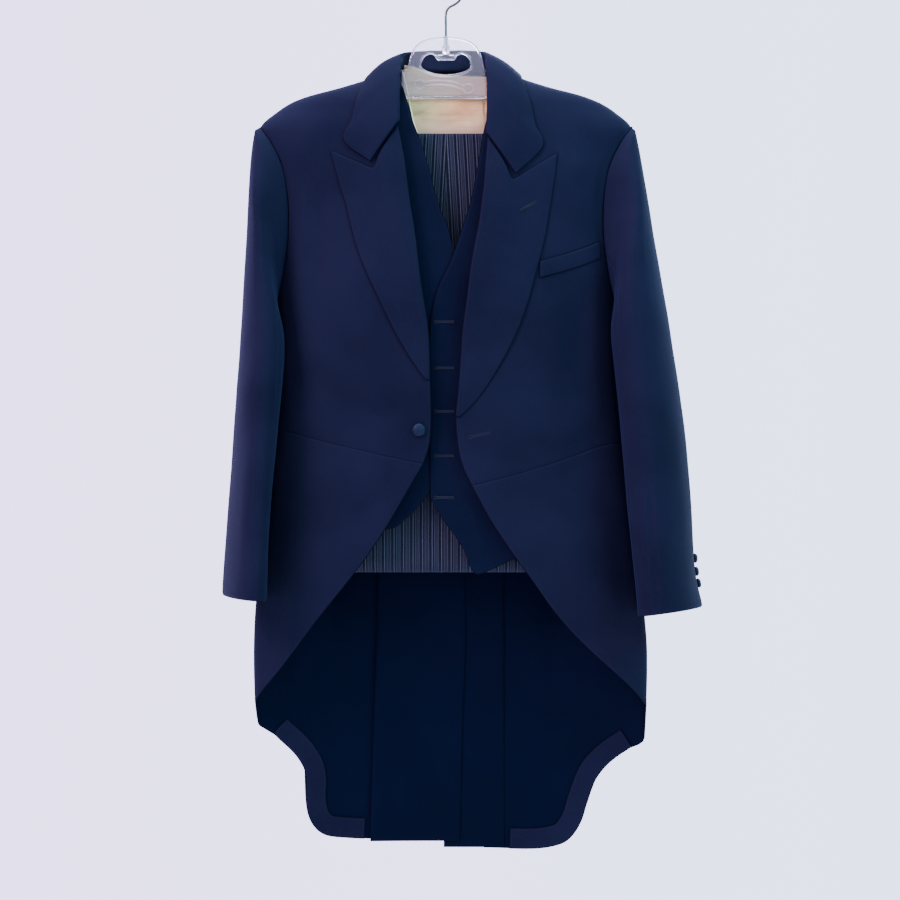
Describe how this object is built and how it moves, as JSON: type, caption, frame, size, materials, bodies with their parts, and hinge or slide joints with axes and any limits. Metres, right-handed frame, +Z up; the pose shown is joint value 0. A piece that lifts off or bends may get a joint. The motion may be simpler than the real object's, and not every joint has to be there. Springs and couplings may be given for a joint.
{
  "type": "three-piece morning suit on a hanger",
  "caption": "Morning suit on a clear hanger: tail coat with peaked lapels, waistcoat and folded striped trousers.",
  "frame": {"origin": "inside top of the hanger's hook, where it rests on a rail", "axes": "+Z up; the suit's front faces -Y; the wearer's left is at +X"},
  "size_m": [0.5838, 0.1525, 1.0768],
  "materials": {
    "coat_cloth": "fine dark navy wool, near black, softly napped",
    "waistcoat_cloth": "fine dark navy wool, near black",
    "waistcoat_lining": "dark satin lining",
    "striped_cloth": "dark wool with fine grey lengthwise stripes",
    "waist_lining": "cream cotton, softly creased",
    "covered_button": "button covered in the coat's cloth",
    "clear_plastic": "clear moulded plastic, glossy",
    "hook_steel": "plain bright steel wire"
  },
  "bodies": {
    "root": {"coat_back_button_left": "covered_button", "coat_back_button_right": "covered_button", "coat_back_left": "coat_cloth", "coat_back_right": "coat_cloth", "coat_breast_welt": "coat_cloth", "coat_collar": "coat_cloth", "coat_cuff_button_left_1": "covered_button", "coat_cuff_button_left_2": "covered_button", "coat_cuff_button_left_3": "covered_button", "coat_cuff_button_right_1": "covered_button", "coat_cuff_button_right_2": "covered_button", "coat_cuff_button_right_3": "covered_button", "coat_forepart_left": "coat_cloth", "coat_forepart_right": "coat_cloth", "coat_front_button": "covered_button", "coat_lapel_left": "coat_cloth", "coat_lapel_right": "coat_cloth", "coat_sidebody_left": "coat_cloth", "coat_sidebody_right": "coat_cloth", "coat_skirt_left": "coat_cloth", "coat_skirt_right": "coat_cloth", "coat_tail_facing_left": "coat_cloth", "coat_tail_facing_right": "coat_cloth", "coat_topsleeve_left": "coat_cloth", "coat_topsleeve_right": "coat_cloth", "coat_undersleeve_left": "coat_cloth", "coat_undersleeve_right": "coat_cloth", "hanger_body": "clear_plastic", "hanger_hook": "hook_steel", "trouser_back_left": "striped_cloth", "trouser_back_right": "striped_cloth", "trouser_curtain": "waist_lining", "trouser_front_left": "striped_cloth", "trouser_front_right": "striped_cloth", "trouser_waist_lining": "waist_lining", "waistcoat_back_left": "waistcoat_lining", "waistcoat_back_right": "waistcoat_lining", "waistcoat_front_left": "waistcoat_cloth", "waistcoat_front_right": "waistcoat_cloth"}
  },
  "joints": []
}
